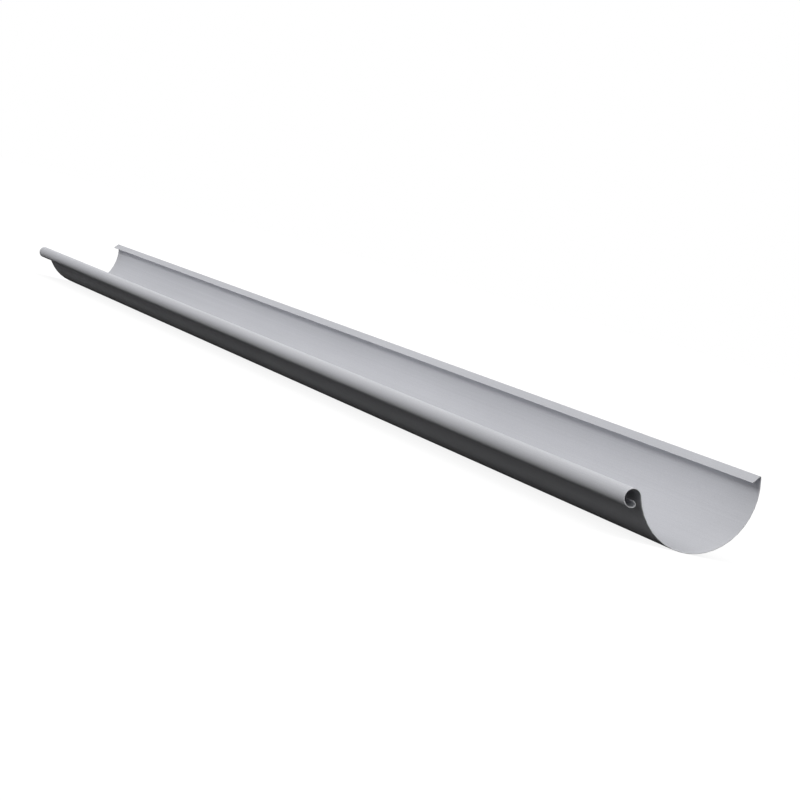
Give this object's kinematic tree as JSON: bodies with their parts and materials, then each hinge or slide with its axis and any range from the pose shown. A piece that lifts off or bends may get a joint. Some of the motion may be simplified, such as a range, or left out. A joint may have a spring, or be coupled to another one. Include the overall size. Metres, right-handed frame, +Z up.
{
  "type": "half-round gutter section",
  "caption": "Straight length of half-round sheet-metal eaves gutter with a rolled front bead and a folded back edge.",
  "frame": {"origin": "on the floor that the gutter lies on, in the middle of its length and of its width there", "axes": "+X along the gutter, +Y towards the folded back edge, -Y towards the front bead, +Z up. The gutter lies as it comes to rest when loose, rolled 16.7 degrees about its trough's axis towards the bead: turned back by that angle about +X it is in its working attitude, with its rim level."},
  "size_m": [2, 0.1374, 0.0834],
  "materials": {
    "coated_sheet": "satin silver-grey metallic coating on zinc-coated sheet steel"
  },
  "bodies": {
    "root": {"gutter": "coated_sheet"}
  },
  "joints": []
}
